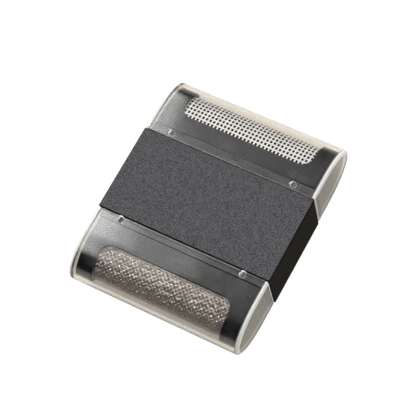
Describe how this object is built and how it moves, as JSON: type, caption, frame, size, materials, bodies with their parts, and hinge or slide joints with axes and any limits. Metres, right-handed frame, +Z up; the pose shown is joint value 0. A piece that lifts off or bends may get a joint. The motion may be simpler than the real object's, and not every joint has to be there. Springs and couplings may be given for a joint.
{
  "type": "fabric shaver",
  "caption": "Flat hand-worked fabric shaver: a black grip with lint bins, a coarse and a fine shaving head that pull out at the ends, and a clear cap over each head.",
  "frame": {"origin": "on the resting face, below the middle of the grip", "axes": "+Y from the fine head to the coarse head, +X across the grip, +Z up through its thickness"},
  "size_m": [0.085, 0.105, 0.025],
  "materials": {
    "casing_plastic": "spark-eroded texture on the broad faces, smooth on the sides",
    "head_plastic": "satin, smooth",
    "inner_plastic": "smooth, unseen",
    "clear_plastic": "clear, polished",
    "coarse_foil_steel": "white, perforated with rows of near-square holes",
    "fine_foil_steel": "bare metal net with a raised fine pattern",
    "screw_steel": "zinc-plated"
  },
  "bodies": {
    "casing": {"lower_casing": "casing_plastic", "upper_casing": "casing_plastic", "divider_plate": "inner_plastic", "casing_screw_1": "screw_steel", "casing_screw_2": "screw_steel", "casing_screw_3": "screw_steel", "casing_screw_4": "screw_steel"},
    "coarse_head": {"coarse_head_shell": "head_plastic", "coarse_foil": "coarse_foil_steel", "coarse_foil_support": "inner_plastic", "coarse_support_screw_left": "screw_steel", "coarse_support_screw_right": "screw_steel"},
    "coarse_cap_body": {"coarse_cap": "clear_plastic"},
    "fine_head": {"fine_head_shell": "head_plastic", "fine_foil": "fine_foil_steel", "fine_foil_support": "inner_plastic", "fine_support_screw_left": "screw_steel", "fine_support_screw_right": "screw_steel"},
    "fine_cap_body": {"fine_cap": "clear_plastic"}
  },
  "joints": [
    {"name": "coarse_head_slide", "type": "slide", "parent": "casing", "child": "coarse_head", "axis": [0, 1, 0], "range_m": [0, 0.016]},
    {"name": "coarse_cap_slide", "type": "slide", "parent": "coarse_head", "child": "coarse_cap_body", "axis": [0, 1, 0], "range_m": [0, 0.034]},
    {"name": "fine_head_slide", "type": "slide", "parent": "casing", "child": "fine_head", "axis": [0, -1, 0], "range_m": [0, 0.016]},
    {"name": "fine_cap_slide", "type": "slide", "parent": "fine_head", "child": "fine_cap_body", "axis": [0, -1, 0], "range_m": [0, 0.034]}
  ]
}
